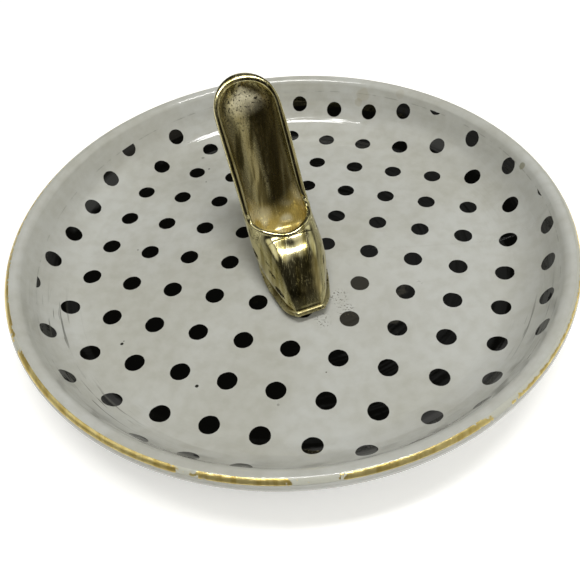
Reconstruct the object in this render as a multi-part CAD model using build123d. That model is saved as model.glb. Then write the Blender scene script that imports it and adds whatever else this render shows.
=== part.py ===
from build123d import *
from math import cos, radians, sin, tan
import os

# Ring dish: a shallow round dish of glazed ceramic with a gilt line on its rim.
# A small gilt high-heeled shoe stands in the middle of it and holds the rings.
# Millimetres, +Z up. The origin is the centre of the face that the foot ring rests on,
# and the viewer of the photograph stands on the -Y side.

# Dish sizes
dish_radius = 54.0            # outside of the rim
rim_rise = 8.5                # top of the rim above the middle of the floor
dome_rise = 1.1               # the floor's middle above its lowest ring
dome_radius = 34.0            # where the domed floor has nearly run out
dome_runout = 0.02            # its height there above the lowest ring
floor_thickness = 3.2
wall_thickness = 3.2
wall_slope = 65.0             # degrees from level
cove_radius = 9.6             # floor to wall, inside
lip_inner_radius = 1.7
lip_outer_radius = 1.4
lip_turn_radius = 3.0         # under the lip, where it turns into the outside wall

# Foot ring sizes
foot_height = 2.0
foot_inner_radius = 37.0      # of the flat face that rests
foot_outer_radius = 39.4
foot_draft = 0.7              # how far each side leans out over the foot's height
foot_edge_radius = 0.4

# Gilt line on the rim
gilding_thickness = 0.3
gilding_clearance = 0.02      # between the band and the glaze that it wraps
gilding_from = 36.0           # degrees above level, round the lip's outer edge
gilding_to = 88.0

# Shoe sizes, in the shoe's own frame: X from toe to heel, Y to its left, Z up
shoe_length = 35.5            # front of the sole to back of the heel
ball_half_width = 6.3         # widest place of the upper
seat_height = 24.2            # heel seat above the dish's floor
vamp_crown = 9.0              # height of the upper over its sole, just before the throat
upper_wall = 1.0
trough_rounding = 0.45        # share of the foot's width that the rounded inside gives up at its bottom
insole_thickness = 1.0
hollow_rise = 3.0             # how far the open part of the inside runs out past the crown
open_share = 0.40             # share of the length behind which the inside is open above
throat_share = 0.33           # front of the opening, as a share of the length
throat_height = 10.4          # above the dish's floor
throat_roll = 0.6             # how far forward the lip of the throat rolls over
throat_roll_rise = 0.9
collar_height = 32.2          # back of the opening above the dish's floor
bowl_run = 5.0                # the rounded bowl behind the throat's lip, toe to heel
bowl_floor = 5.0              # its lowest place above the dish's floor
throat_round_length = 4.5     # the throat in plan is the front half of an ellipse
throat_round_half_width = 5.9
throat_shift = -0.35          # its middle, to the shoe's left
lip_width = 0.5               # from the throat's front to the hollow inside
shoe_turn = 17.5              # degrees, the toe points to the viewer's right
shoe_toe_x = 3.6
shoe_toe_y = -16.8

# Sole and heel sizes
sole_thickness = 1.1
sole_clearance = 0.25         # sole's lowest place above the middle of the floor
toe_spring = 0.7              # how far the sole's front lifts
spring_share = 0.225          # share of the length over which it lifts
nose_half_width = 2.65        # flat front of the sole
welt_width = 0.9              # sole edge standing out round the toe
waist_welt_width = 0.3        # the same along the waist and the heel seat
welt_fade_start = 0.3         # shares of the length between which the welt narrows
welt_fade_end = 0.5
heel_tip_inset = 3.3          # middle of the heel's end, ahead of the back of the shoe
heel_tip_length = 3.8
heel_tip_width = 3.6
heel_tip_clearance = 0.3      # heel's end above the middle of the floor
heel_waist_share = 0.45       # height of the heel's thinnest place, as a share of the seat's
heel_waist_length = 3.3
heel_waist_width = 3.0
heel_flare_share = 0.78       # height where the stem has flared toward the cup
heel_flare_length = 5.5
heel_flare_width = 5.4
heel_cup_length = 7.6         # where the heel meets the seat
heel_cup_width = 8.0
heel_cup_rise = 1.2           # how far the cup is carried up before the sole cuts it

# Cement beads under the shoe
cement_spread = 0.7           # how far a bead stands out round what it holds
sole_cement_share = 0.26      # its middle, as a share of the shoe's length
sole_cement_length = 9.0
sole_cement_width = 6.4
heel_cement_height = 0.7

# Heights worked out from the sizes above
floor_low = foot_height + floor_thickness
floor_middle = floor_low + dome_rise
rim_top = floor_middle + rim_rise
throat_along = throat_share * shoe_length
heel_tip_along = shoe_length - heel_tip_inset
sole_level = sole_clearance + sole_thickness
shoe_place = Location((shoe_toe_x, shoe_toe_y, floor_middle), (0, 0, 90 + shoe_turn))

# The shoe's form, station by station from toe to heel. The sole's top edge is the feather line.
# share of shoe_length, share of seat_height that the feather line has climbed,
# lean of the section toward the toe in degrees, shift to the shoe's left,
# half width at the feather line and at the widest place as shares of ball_half_width,
# height of the section as a share of vamp_crown, squareness of its shoulder
stations = [
    (0.030, 0.00, 0, 0.60, 0.44, 0.46, 0.08, 0.82),
    (0.058, 0.00, 0, 0.50, 0.54, 0.57, 0.26, 0.82),
    (0.113, 0.00, 0, 0.30, 0.65, 0.69, 0.49, 0.81),
    (0.225, 0.00, 2, -0.15, 0.80, 0.89, 0.83, 0.79),
    (0.335, 0.02, 6, -0.35, 0.88, 1.02, 0.96, 0.78),
    (0.450, 0.10, 18, -0.25, 0.86, 1.05, 1.04, 0.77),
    (0.563, 0.28, 30, 0.0, 0.76, 1.02, 1.27, 0.76),
    (0.676, 0.50, 35, 0.0, 0.70, 1.02, 1.33, 0.76),
    (0.789, 0.73, 33, 0.05, 0.71, 1.03, 1.40, 0.76),
    (0.880, 0.90, 22, 0.15, 0.70, 1.01, 1.42, 0.76),
    (0.955, 0.99, 10, 0.15, 0.52, 0.80, 1.36, 0.76),
    (0.994, 1.00, 3, 0.10, 0.26, 0.42, 1.26, 0.76),
]
# The opening's edge in side view: shares of its run to the heel and of its climb to the collar
topline = [(0, 0), (0.13, 0.01), (0.30, 0.14), (0.50, 0.41), (0.70, 0.71), (0.88, 0.93)]
# The bowl in side view: shares of its run and of its rise to the throat's lip, then on under the insole
bowl = [(0.06, 1.10), (0.10, 0.86), (0.24, 0.46), (0.50, 0.14), (0.78, 0.0), (1.2, -0.02), (2.0, -0.02)]


def polar(centre, radius, angle):
    """The point at a radius and an angle in degrees from a centre."""
    turn = radians(angle)
    return centre + Vector(cos(turn), sin(turn)) * radius


def arc(centre, radius, start, end):
    """An arc round a centre between two angles in degrees."""
    return ThreePointArc(*(polar(centre, radius, angle) for angle in (start, (start + end) / 2, end)))


def lift(share, climb):
    """Height of the feather line: the toe's spring, the flat ball and the climb to the seat."""
    spring = toe_spring * max(0.0, 1 - share / spring_share) ** 2
    return sole_level + spring + climb * (seat_height - sole_level)


def revolve_profile(edges):
    """A closed outline in the X-Z plane, turned once round Z."""
    return revolve(make_face(Plane.XZ * edges), axis=Axis.Z)


def make_dish():
    """Dish body: domed floor, coved wall, rolled lip and foot ring in one turned profile."""
    lean = 90 - wall_slope
    lip = Vector(dish_radius - lip_outer_radius, rim_top - lip_outer_radius)
    turn = Vector(dish_radius - lip_turn_radius, lip.Y)
    inside = polar(turn, lip_turn_radius - wall_thickness, -lean)

    def beside_wall(distance, height):
        """The point at a height and at a distance outward from the inside wall's line."""
        start = polar(inside, distance, -lean)
        return Vector(start.X + (height - start.Y) / tan(radians(wall_slope)), height)

    cove = beside_wall(-cove_radius, floor_low + cove_radius)
    roll = beside_wall(lip_inner_radius, rim_top - lip_inner_radius)
    outer_cove = cove_radius + wall_thickness
    bend = Vector(cove.X, foot_height + outer_cove)

    floor = Spline(
        (0, floor_middle),
        (dome_radius, floor_low + dome_runout),
        (cove.X, floor_low),
        tangents=[(1, 0), (1, 0)],
    )
    cove_arc = arc(cove, cove_radius, -90, -lean)
    roll_arc = arc(roll, lip_inner_radius, 180 - lean, 90)
    lip_arc = arc(lip, lip_outer_radius, 90, 0)
    turn_arc = arc(turn, lip_turn_radius, 0, -lean)
    bend_arc = arc(bend, outer_cove, -lean, -90)
    inside_wall = Line(cove_arc @ 1, roll_arc @ 0)
    crest = Line(roll_arc @ 1, lip_arc @ 0)
    outside_wall = Line(turn_arc @ 1, bend_arc @ 0)
    foot = Polyline(
        bend_arc @ 1,
        (foot_outer_radius + foot_draft, foot_height),
        (foot_outer_radius, 0),
        (foot_inner_radius, 0),
        (foot_inner_radius - foot_draft, foot_height),
        (0, foot_height),
        (0, floor_middle),
    )
    inner_edges = [floor, cove_arc, inside_wall, roll_arc, crest]
    outer_edges = [lip_arc, turn_arc, outside_wall, bend_arc, foot]
    body = revolve_profile(Curve() + inner_edges + outer_edges)
    resting_edges = body.edges().filter_by(GeomType.CIRCLE).group_by(Axis.Z)[0]
    return fillet(resting_edges, foot_edge_radius)


def make_gilding():
    """Gilt line: a thin band wrapped round the outer half of the lip."""
    lip = Vector(dish_radius - lip_outer_radius, rim_top - lip_outer_radius)
    inner_radius = lip_outer_radius + gilding_clearance
    inner = arc(lip, inner_radius, gilding_from, gilding_to)
    outer = arc(lip, inner_radius + gilding_thickness, gilding_to, gilding_from)
    return revolve_profile(Curve() + [inner, Line(inner @ 1, outer @ 0), outer, Line(outer @ 1, inner @ 0)])


def last_section(station, inset, base, rounding, rise):
    """One section of the shoe's form, drawn in by inset.

    It runs from base over the feather line to rise over the crown, and rounding draws in its foot.
    """
    share, climb, lean, shift, foot, girth, crown, shoulder = station
    turn = radians(lean)
    plane = Plane(
        origin=(share * shoe_length, shift, lift(share, climb)),
        x_dir=(0, 1, 0),
        z_dir=(cos(turn), 0, sin(turn)),
    )
    foot_x = (foot * ball_half_width - inset) * (1 - rounding)
    side_x = girth * ball_half_width - inset
    top = crown * vamp_crown - inset + rise
    side_y = base + (top - base) / 3
    outline = Curve() + [
        Line((-foot_x, base), (foot_x, base)),
        Spline(
            (foot_x, base),
            (side_x, side_y),
            (shoulder * side_x, base + shoulder * (top - base)),
            (0, top),
            (-shoulder * side_x, base + shoulder * (top - base)),
            (-side_x, side_y),
            (-foot_x, base),
        ),
    ]
    return plane * make_face(outline)


def feather_line():
    """The sole's top edge in the shoe's side view."""
    points = [(0, lift(0, 0))]
    points += [(s[0] * shoe_length, lift(s[0], s[1])) for s in stations[2:-1]]
    points += [(shoe_length + welt_width, lift(1, 1))]
    return Spline(*points)


def side_extrude(face):
    """A side view face carried across the whole width of the shoe."""
    return extrude(Plane.XZ * face, amount=2 * ball_half_width, both=True)


def side_region(line, height):
    """Everything between a side view line and a level, across the shoe's width."""
    start = line @ 0
    end = line @ 1
    border = Polyline((end.X, end.Y), (end.X, height), (start.X, height), (start.X, start.Y))
    return side_extrude(make_face(Curve() + [line, border]))


def sole_underside():
    """The feather line moved down by the sole's thickness, square to itself."""
    line = feather_line()
    points = []
    for step in range(13):
        at = line @ (step / 12)
        along = line % (step / 12)
        points.append((at.X + along.Y * sole_thickness, at.Y - along.X * sole_thickness))
    return Spline(*points)


def topline_cutter():
    """All that lies above the shoe's opening: a throat, low sides and the climb to the collar."""
    run = shoe_length - throat_along
    climb = collar_height - throat_height
    points = [(throat_along - throat_roll, throat_height + throat_roll_rise)]
    points += [(throat_along + run * along, throat_height + climb * up) for along, up in topline]
    points += [(shoe_length + welt_width, collar_height)]
    return side_region(Spline(*points), 2 * collar_height)


def above_bowl():
    """All that lies above the bowl's line: the inside is hollow only there."""
    rise = throat_height - bowl_floor
    points = [(throat_along + bowl_run * along, bowl_floor + rise * up) for along, up in bowl]
    points += [(shoe_length + welt_width, bowl_floor)]
    return side_region(Spline(*points), 2 * collar_height)


def behind_throat():
    """All that lies behind the throat's rounded front, seen from above."""
    middle = throat_along + lip_width + throat_round_length
    front = Pos(middle, throat_shift) * Ellipse(throat_round_length, throat_round_half_width)
    rest = Pos(middle + shoe_length / 2, 0) * Rectangle(shoe_length, 4 * ball_half_width)
    return extrude(front + rest, amount=2 * collar_height)


def make_upper():
    """Shoe upper: a closed vamp, a throat with a bowl behind its lip, a trough and a heel cup."""
    below_feather = -0.5 * sole_thickness
    form = loft([last_section(s, 0, below_feather, 0, 0) for s in stations])
    inside = []
    for station in stations[2:-1]:
        rise = hollow_rise if station[0] > open_share else 0
        inside.append(last_section(station, upper_wall, insole_thickness, trough_rounding, rise))
    hollow = loft(inside) & above_bowl() & behind_throat()
    upper = form - hollow
    upper -= topline_cutter()
    upper -= side_region(feather_line(), -shoe_length)
    return upper


def sole_outline():
    """Plan of the sole: the feather outline with the welt added."""
    def edge(station, side):
        share, _, _, shift, foot, _, _, _ = station
        fade = min(1.0, max(0.0, (share - welt_fade_start) / (welt_fade_end - welt_fade_start)))
        welt = welt_width + (waist_welt_width - welt_width) * fade
        return (share * shoe_length, shift + side * (foot * ball_half_width + welt))

    nose = stations[0][3]
    chosen = stations[1:-1]
    right = [(0, nose - nose_half_width)] + [edge(s, -1) for s in chosen]
    left = [(0, nose + nose_half_width)] + [edge(s, 1) for s in chosen]
    return make_face(Curve() + [
        Line(right[0], left[0]),
        Spline(*left),
        Spline(*right),
        ThreePointArc(left[-1], (shoe_length, 0), right[-1]),
    ])


def make_sole():
    """Outsole: one thin piece from the welt at the toe through the steep waist to the heel seat."""
    plate = side_region(feather_line(), -shoe_length) - side_region(sole_underside(), -shoe_length)
    return plate & extrude(sole_outline(), amount=2 * seat_height)


def oval(height, along, length, width):
    """A level ellipse at a height and a place along the shoe."""
    return Plane.XY.offset(height) * Pos(along, 0) * Ellipse(length / 2, width / 2)


def make_heel():
    """Stiletto heel: a slim stem that flares into a cup under the heel seat."""
    cup_along = shoe_length - waist_welt_width - heel_cup_length / 2
    stem = loft([
        oval(heel_tip_clearance, heel_tip_along, heel_tip_length, heel_tip_width),
        oval(heel_waist_share * seat_height, heel_tip_along, heel_waist_length, heel_waist_width),
        oval(heel_flare_share * seat_height, cup_along, heel_flare_length, heel_flare_width),
        oval(seat_height + heel_cup_rise, cup_along, heel_cup_length, heel_cup_width),
    ])
    return stem - side_region(sole_underside(), 2 * collar_height)


def make_cement(held, dish, along, length, width, top):
    """A bead of cement that fills the gap between the dish's floor and a piece of the shoe."""
    spread = 2 * cement_spread
    bead = loft([
        oval(floor_low - floor_middle, along, length + spread, width + spread),
        oval(top, along, length, width),
    ])
    bead -= side_region(sole_underside(), 2 * collar_height)
    return shoe_place * bead - dish - held


os.makedirs("parts", exist_ok=True)
dish = make_dish()
upper = shoe_place * make_upper()
sole = shoe_place * make_sole()
heel = shoe_place * make_heel()
sole_cement = make_cement(
    sole, dish, sole_cement_share * shoe_length, sole_cement_length, sole_cement_width, sole_level
)
heel_cement = make_cement(
    heel, dish, heel_tip_along, heel_tip_length, heel_tip_width, heel_cement_height
)
parts = {
    "dish": dish,
    "rim_gilding": make_gilding(),
    "shoe_upper": upper,
    "shoe_sole": sole,
    "shoe_heel": heel,
    "sole_cement": sole_cement,
    "heel_cement": heel_cement,
}
for name, part in parts.items():
    part.label = name
    export_step(part, f"parts/{name}.step")
    print(name, "volume", round(part.volume, 1), "solids", len(part.solids()))
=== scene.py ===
# %% [markdown]
# A ring dish: a shallow round dish of white glazed ceramic with black polka dots, a worn gold line
# on its rim, and a small high-heeled shoe in mirror gold that holds the rings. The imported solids
# are loaded first. They fix every size and place, and each cell below dresses one of them.

# %% Load the solids
import math
import bmesh
import bpy
import numpy as np
from mathutils import Matrix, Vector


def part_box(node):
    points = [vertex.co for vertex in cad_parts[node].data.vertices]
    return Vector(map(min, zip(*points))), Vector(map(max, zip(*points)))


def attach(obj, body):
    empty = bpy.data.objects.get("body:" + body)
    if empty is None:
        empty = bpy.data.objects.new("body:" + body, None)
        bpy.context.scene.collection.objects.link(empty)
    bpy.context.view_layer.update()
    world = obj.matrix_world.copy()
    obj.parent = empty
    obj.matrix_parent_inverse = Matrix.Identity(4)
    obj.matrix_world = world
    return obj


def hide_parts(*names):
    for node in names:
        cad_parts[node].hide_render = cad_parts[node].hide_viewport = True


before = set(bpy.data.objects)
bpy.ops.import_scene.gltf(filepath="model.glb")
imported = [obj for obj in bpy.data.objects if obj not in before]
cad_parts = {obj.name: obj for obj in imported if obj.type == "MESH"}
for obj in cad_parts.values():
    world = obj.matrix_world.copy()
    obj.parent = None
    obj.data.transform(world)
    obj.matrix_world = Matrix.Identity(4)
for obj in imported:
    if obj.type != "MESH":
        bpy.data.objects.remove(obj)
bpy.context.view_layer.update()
print("solids", sorted(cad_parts))

# %% [markdown]
# Everything below is worked out in millimetres, as a potter or a last maker would write it down,
# and turned to metres only where a mesh or a place is handed to Blender. The dish's radius and its
# height come from the solid. The shoe's foot point and its turn are those of its solid.

# %% Units and helpers for curves
MM = 0.001


def part_done(value, start, length):
    """How much of a stretch is done: 0 before its start, 1 past its end, and straight between.

    A stretch with a negative length runs the other way.
    """
    return np.clip((value - start) / length, 0, 1)


def smooth_curve(knots, values, at):
    """Natural cubic spline through values at knots.

    The bend at each knot solves the system in which the slopes meet there. Between two knots
    the value is a v0 + b v1 + ((a^3 - a) m0 + (b^3 - b) m1) h^2 / 6, with b the share of the
    step h that is done, a what is left of it, and m0 and m1 the bends at its ends.
    """
    knots, values, at = (np.asarray(part, float) for part in (knots, values, at))
    flat = values.reshape(len(knots), -1)
    step = np.diff(knots)
    slope = np.diff(flat, axis=0) / step[:, None]
    inner = np.arange(1, len(knots) - 1)
    system = np.eye(len(knots))
    system[inner, inner - 1] = step[:-1]
    system[inner, inner] = 2 * (step[:-1] + step[1:])
    system[inner, inner + 1] = step[1:]
    right = np.zeros_like(flat)
    right[1:-1] = 6 * np.diff(slope, axis=0)
    bend = np.linalg.solve(system, right)
    place = at.ravel()
    k = np.clip(np.searchsorted(knots, place, side="right") - 1, 0, len(knots) - 2)
    h = step[k][:, None]
    a = (knots[k + 1] - place)[:, None] / h
    b = 1 - a
    result = a * flat[k] + b * flat[k + 1]
    result += ((a**3 - a) * bend[k] + (b**3 - b) * bend[k + 1]) * h**2 / 6
    return result.reshape(at.shape + values.shape[1:])


def arc(centre, radius, start, end, count):
    """Points centre + radius (cos, sin) of angles in degrees from start to end."""
    angle = np.radians(np.linspace(start, end, count))
    return np.stack([centre[0] + radius * np.cos(angle), centre[1] + radius * np.sin(angle)], axis=1)


dish_low, dish_high = (np.array(corner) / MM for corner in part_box("dish"))
print("dish", np.round(dish_high - dish_low, 2), "mm")

# %% [markdown]
# A new piece is one or more grids of points. Each grid gives its quads, and where two grids or two
# ends meet, their points are welded, so seams and poles are closed. Then the faces are turned
# outward. Values that a finish needs, such as where the print lies, ride along as attributes.

# %% Helper that makes a piece from grids
WELD = 1e-6


def grid_quads(rows, columns, wrap):
    """Quads of a grid: point (i, j) with its next row and next column, which wraps if asked."""
    i = np.arange(rows - 1)
    j = np.arange(columns if wrap else columns - 1)
    i, j = (part.ravel() for part in np.meshgrid(i, j, indexing="ij"))
    beside = (j + 1) % columns
    row, next_row = i * columns, (i + 1) * columns
    return np.stack([row + j, row + beside, next_row + beside, next_row + j], axis=1)


def make_piece(name, grids, node, attributes=None):
    """A piece from grids of points in millimetres, each with a flag: do its rows close?"""
    points, quads, start = [], [], 0
    for grid, wrap in grids:
        rows, columns = grid.shape[:2]
        points.append(grid.reshape(-1, 3) * MM)
        quads.append(grid_quads(rows, columns, wrap) + start)
        start += rows * columns
    mesh = bpy.data.meshes.new(name)
    mesh.from_pydata(np.concatenate(points), [], np.concatenate(quads).tolist())
    for label, values in (attributes or {}).items():
        layer = mesh.attributes.new(label, "FLOAT_VECTOR", "POINT")
        layer.data.foreach_set("vector", np.asarray(values, np.float32).ravel())
    shell = bmesh.new()
    shell.from_mesh(mesh)
    bmesh.ops.remove_doubles(shell, verts=shell.verts, dist=WELD)
    bmesh.ops.recalc_face_normals(shell, faces=shell.faces)
    shell.to_mesh(mesh)
    open_edges = sum(edge.is_boundary for edge in shell.edges)
    shell.free()
    mesh.shade_smooth()
    piece = bpy.data.objects.new(name, mesh)
    bpy.context.scene.collection.objects.link(piece)
    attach(piece, "root")
    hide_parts(node)
    print(name, len(mesh.polygons), "faces,", open_edges, "open edges")
    return piece


# %% [markdown]
# The dish is thrown or jiggered, so it is one outline turned round its axis. The outline goes from
# the middle of the domed floor over the cove, up the wall, over the rolled lip, down the outside
# and under to the foot ring. Arcs and lines meet with the same slope, as on the solid.

# %% Dish outline
dish_radius = dish_high[0]
rim_top = dish_high[2]
foot_height = 2.0
floor_low = 5.2
floor_middle = 6.3
dome_radius = 34.0
dome_runout = 0.02
wall_thickness = 3.2
wall_lean = 25.0
cove_radius = 9.6
lip_inner_radius = 1.7
lip_outer_radius = 1.4
lip_turn_radius = 3.0
foot_inner_radius = 37.0
foot_outer_radius = 39.4
foot_draft = 0.7
foot_edge_radius = 0.4


def polar(centre, radius, angle):
    """The point centre + radius (cos, sin) of an angle in degrees."""
    angle = math.radians(angle)
    return np.array(centre) + radius * np.array([math.cos(angle), math.sin(angle)])


lip = np.array([dish_radius - lip_outer_radius, rim_top - lip_outer_radius])
turn = np.array([dish_radius - lip_turn_radius, lip[1]])
inside = polar(turn, lip_turn_radius - wall_thickness, -wall_lean)


def beside_wall(distance, height):
    """The point at a height and at a distance outward from the inside wall's line."""
    start = polar(inside, distance, -wall_lean)
    return np.array([start[0] + (height - start[1]) * math.tan(math.radians(wall_lean)), height])


cove = beside_wall(-cove_radius, floor_low + cove_radius)
roll = beside_wall(lip_inner_radius, rim_top - lip_inner_radius)
bend = np.array([cove[0], foot_height + cove_radius + wall_thickness])
floor_run = np.linspace(0, cove[0], 90)[:-1]
floor_knots = np.array([-cove[0], -dome_radius, 0, dome_radius, cove[0]])
dome_edge = floor_low + dome_runout
floor_heights = np.array([floor_low, dome_edge, floor_middle, dome_edge, floor_low])
floor_line = np.stack([floor_run, smooth_curve(floor_knots, floor_heights, floor_run)], axis=1)
inner_line = np.concatenate([
    floor_line,
    arc(cove, cove_radius, -90, -wall_lean, 40),
    arc(roll, lip_inner_radius, 180 - wall_lean, 90, 16),
])
edge_draft = foot_draft * foot_edge_radius / foot_height
foot_profile = np.array([
    [foot_outer_radius + foot_draft, foot_height],
    [foot_outer_radius + edge_draft, foot_edge_radius],
    [foot_outer_radius - foot_edge_radius, 0],
    [foot_inner_radius + foot_edge_radius, 0],
    [foot_inner_radius - edge_draft, foot_edge_radius],
    [foot_inner_radius - foot_draft, foot_height],
])
underside = np.linspace(foot_inner_radius - foot_draft, 0, 12)[1:]
outer_line = np.concatenate([
    arc(lip, lip_outer_radius, 90, 0, 14),
    arc(turn, lip_turn_radius, 0, -wall_lean, 8)[1:],
    arc(bend, cove_radius + wall_thickness, -wall_lean, -90, 30),
    foot_profile,
    np.stack([underside, np.full(len(underside), foot_height)], axis=1),
])
outline = np.concatenate([inner_line, outer_line])
along = np.concatenate([[0], np.cumsum(np.hypot(*np.diff(outline, axis=0).T))])
to_crest = along[len(inner_line) - 1]
print("outline", len(outline), "points,", round(to_crest, 1), "mm from the middle to the crest")

# %% [markdown]
# The dots are a transfer: a sheet of printed film that the decorator slides onto the glaze and
# fires. Flat film laid in a dish keeps its distances from the middle, so the print is a square
# lattice in distance along the outline and direction. Each point of the mesh gets its place in
# that lattice, in steps from dot to dot, and how far it lies inside the sheet's cut edge.

# %% Dish and its place in the print
TURNS = 468
dot_spacing = (8.88, 8.99)
dot_angle = -18.76
dot_skew = -0.75
dot_origin = (-1.47, -23.38)
dot_radius = 1.82
print_edge = 52.95
print_centre = (1.45, 0.3)
# direction of each creased place from the middle, and how far it spreads, in degrees
crease_turns = ((-161, 9), (-135, 8), (-30, 9))
# how far inside the cut edge the creases are strongest, and how far they fade, in mm
crease_inside = 4.0
crease_fade = 3.0
# steps of the creases' pattern for each mm round the wall and for each mm in from the edge
crease_steps = (0.07, 1.3)


def turned(line, angles):
    """Each point (r, z) of a line at every angle: (r cos, r sin, z)."""
    return np.stack([
        line[:, :1] * np.cos(angles),
        line[:, :1] * np.sin(angles),
        np.repeat(line[:, 1:], len(angles), axis=1),
    ], axis=2)


angles = np.linspace(0, 2 * math.pi, TURNS, endpoint=False)
lattice_turn = math.radians(dot_angle)
row_turn = math.radians(dot_angle + dot_skew)
lattice = np.array([
    [dot_spacing[0] * math.cos(lattice_turn), dot_spacing[1] * math.sin(row_turn)],
    [dot_spacing[0] * math.sin(lattice_turn), -dot_spacing[1] * math.cos(row_turn)],
])
flat_place = along[:, None, None] * np.stack([np.cos(angles), np.sin(angles)], axis=1)
steps = (flat_place - np.array(dot_origin)) @ np.linalg.inv(lattice).T
inside_print = print_edge - np.hypot(*(flat_place - np.array(print_centre)).transpose(2, 0, 1))
print_place = np.concatenate([steps, inside_print[..., None]], axis=2)
sheet_place = np.concatenate([flat_place, np.zeros_like(inside_print)[..., None]], axis=2)
degrees = np.degrees((angles + math.pi) % (2 * math.pi) - math.pi)
creased = sum(np.exp(-((degrees - middle) / width) ** 2) for middle, width in crease_turns)
creased = creased * np.exp(-((inside_print - crease_inside) / crease_fade) ** 2)
round_wall = np.broadcast_to(angles * dish_radius, inside_print.shape)
crease_place = np.stack([
    crease_steps[0] * round_wall,
    crease_steps[1] * inside_print,
    creased,
], axis=2)
dish_piece = make_piece("glazed_dish", [(turned(outline, angles), True)], "dish", {
    "print_place": print_place,
    "sheet_place": sheet_place,
    "crease_place": crease_place,
})

# %% [markdown]
# The gold line is liquid lustre, brushed on the lip over the fired glaze. It is thinner than a
# hair, so here it is a skin just over the outer half of the lip, and its finish wears it away.

# %% Gold line
line_lift = 0.05
line_from = 34.0
line_to = 76.0
LINE_POINTS = 16
# direction from the middle in degrees, and how far the gold is worn off there
line_wear = np.array([
    (-180, 0.58), (-168, 0.45), (-158, 0.35), (-153, 0.90), (-148, 0.22), (-130, 0.15),
    (-113, 0.25), (-109, 0.95), (-105, 0.22), (-97, 0.10), (-94, 0.30), (-91.5, 1.0), (-86, 0.95),
    (-83, 0.15), (-74, 0.02), (-64, 0.15), (-60, 0.45), (-57, 0.95), (-53, 0.40), (-42, 0.18),
    (-20, 0.30), (0, 0.50), (18, 0.58), (34, 0.75), (42, 0.95), (60, 1.0), (84, 0.95), (100, 0.85),
    (130, 0.80), (150, 0.72), (168, 0.62), (180, 0.58),
])
skin = arc(lip, lip_outer_radius + line_lift, line_to, line_from, LINE_POINTS)
skin[:, 0] = np.minimum(skin[:, 0], dish_radius)
under = arc(lip, lip_outer_radius - line_lift, line_from, line_to, LINE_POINTS)
band = np.concatenate([skin, under, skin[:1]])
from_crest = np.linspace(-1, 1, LINE_POINTS)
across_band = np.concatenate([from_crest, from_crest[::-1], [-1]])
worn_off = np.interp(degrees, line_wear[:, 0], line_wear[:, 1])
# on the viewer's right the brush kept to the lip's outer side
narrowed = np.interp(degrees, (-66, -44, 20, 40), (0, 0.9, 0.9, 0))
worn_off = worn_off + narrowed * np.clip(0.55 - across_band[:, None], 0, 1)
line_place = np.stack(np.broadcast_arrays(worn_off, across_band[:, None], 0.0), axis=2)
gilding_piece = make_piece("gilt_line", [(turned(band, angles), True)], "rim_gilding", {
    "line_place": line_place,
})

# %% [markdown]
# A shoe is built round a last, the wooden or resin form of the foot. The table gives the last
# station by station from toe to heel, as for the solid: how far the sole has climbed to the heel
# seat, how the section leans, its widths and its height. A smooth curve runs through each column,
# so the upper, the sole and the welt all follow one form.

# %% Last of the shoe
shoe_length = 35.5
ball_half_width = 6.3
seat_height = 24.2
vamp_crown = 9.0
toe_spring = 0.7
spring_share = 0.225
sole_thickness = 1.1
sole_level = 1.35
shoe_turn = 17.5
shoe_toe = np.array([3.6, -16.8, floor_middle])
throat_share = 0.33
throat_height = 10.4
throat_roll = 0.6
throat_roll_rise = 0.9
collar_height = 32.2
collar_runout = 0.9
# share of the way from throat to back, and share of the climb to the collar
topline_shares = ((0, 0), (0.13, 0.01), (0.30, 0.14), (0.50, 0.41), (0.70, 0.71), (0.88, 0.93))

# share of the length, share of the climb, lean in degrees, shift, half width at the sole and at
# the widest place, height of the section, squareness of its shoulder
stations = np.array([
    (0.030, 0.00, 0, 0.60, 0.44, 0.46, 0.08, 0.82),
    (0.058, 0.00, 0, 0.50, 0.54, 0.57, 0.26, 0.82),
    (0.113, 0.00, 0, 0.30, 0.65, 0.69, 0.49, 0.81),
    (0.225, 0.00, 2, -0.15, 0.80, 0.89, 0.83, 0.79),
    (0.335, 0.02, 6, -0.35, 0.88, 1.02, 0.96, 0.78),
    (0.450, 0.10, 18, -0.25, 0.86, 1.05, 1.04, 0.77),
    (0.563, 0.28, 30, 0.0, 0.76, 1.02, 1.27, 0.76),
    (0.676, 0.50, 35, 0.0, 0.70, 1.02, 1.33, 0.76),
    (0.789, 0.73, 33, 0.05, 0.71, 1.03, 1.40, 0.76),
    (0.880, 0.90, 22, 0.15, 0.70, 1.01, 1.42, 0.76),
    (0.955, 0.99, 10, 0.15, 0.52, 0.80, 1.36, 0.76),
    (0.994, 1.00, 3, 0.10, 0.26, 0.42, 1.26, 0.76),
])
HEEL_STATION = 9
heel_share = stations[HEEL_STATION, 0]
back_share = stations[-1, 0]


def lift(share, climb):
    """Height of the sole's top: the toe's spring, the flat ball and the climb to the seat."""
    spring = toe_spring * np.clip(1 - share / spring_share, 0, None) ** 2
    return sole_level + spring + climb * (seat_height - sole_level)


def last_values(rows):
    """Lift, lean, shift, half width at the sole, widest half width, height, shoulder of each row.

    A row is a share of the length, a factor on the widths and a factor on the height. Behind the
    heel's station the widths stay as they are there, and the factor rounds the heel off.
    """
    share = rows[:, 0]
    curve = smooth_curve(stations[:, 0], stations[:, 1:], share)
    widths = smooth_curve(stations[:, 0], stations[:, 4:6], np.minimum(share, heel_share))
    climb, lean, shift, _, _, crown, shoulder = curve.T
    lean = np.radians(np.clip(lean, 0, None))
    climb = np.clip(climb, 0, 1)
    foot, girth = widths.T * ball_half_width
    return lift(share, climb), lean, shift, foot, girth, crown * vamp_crown, shoulder


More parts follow.
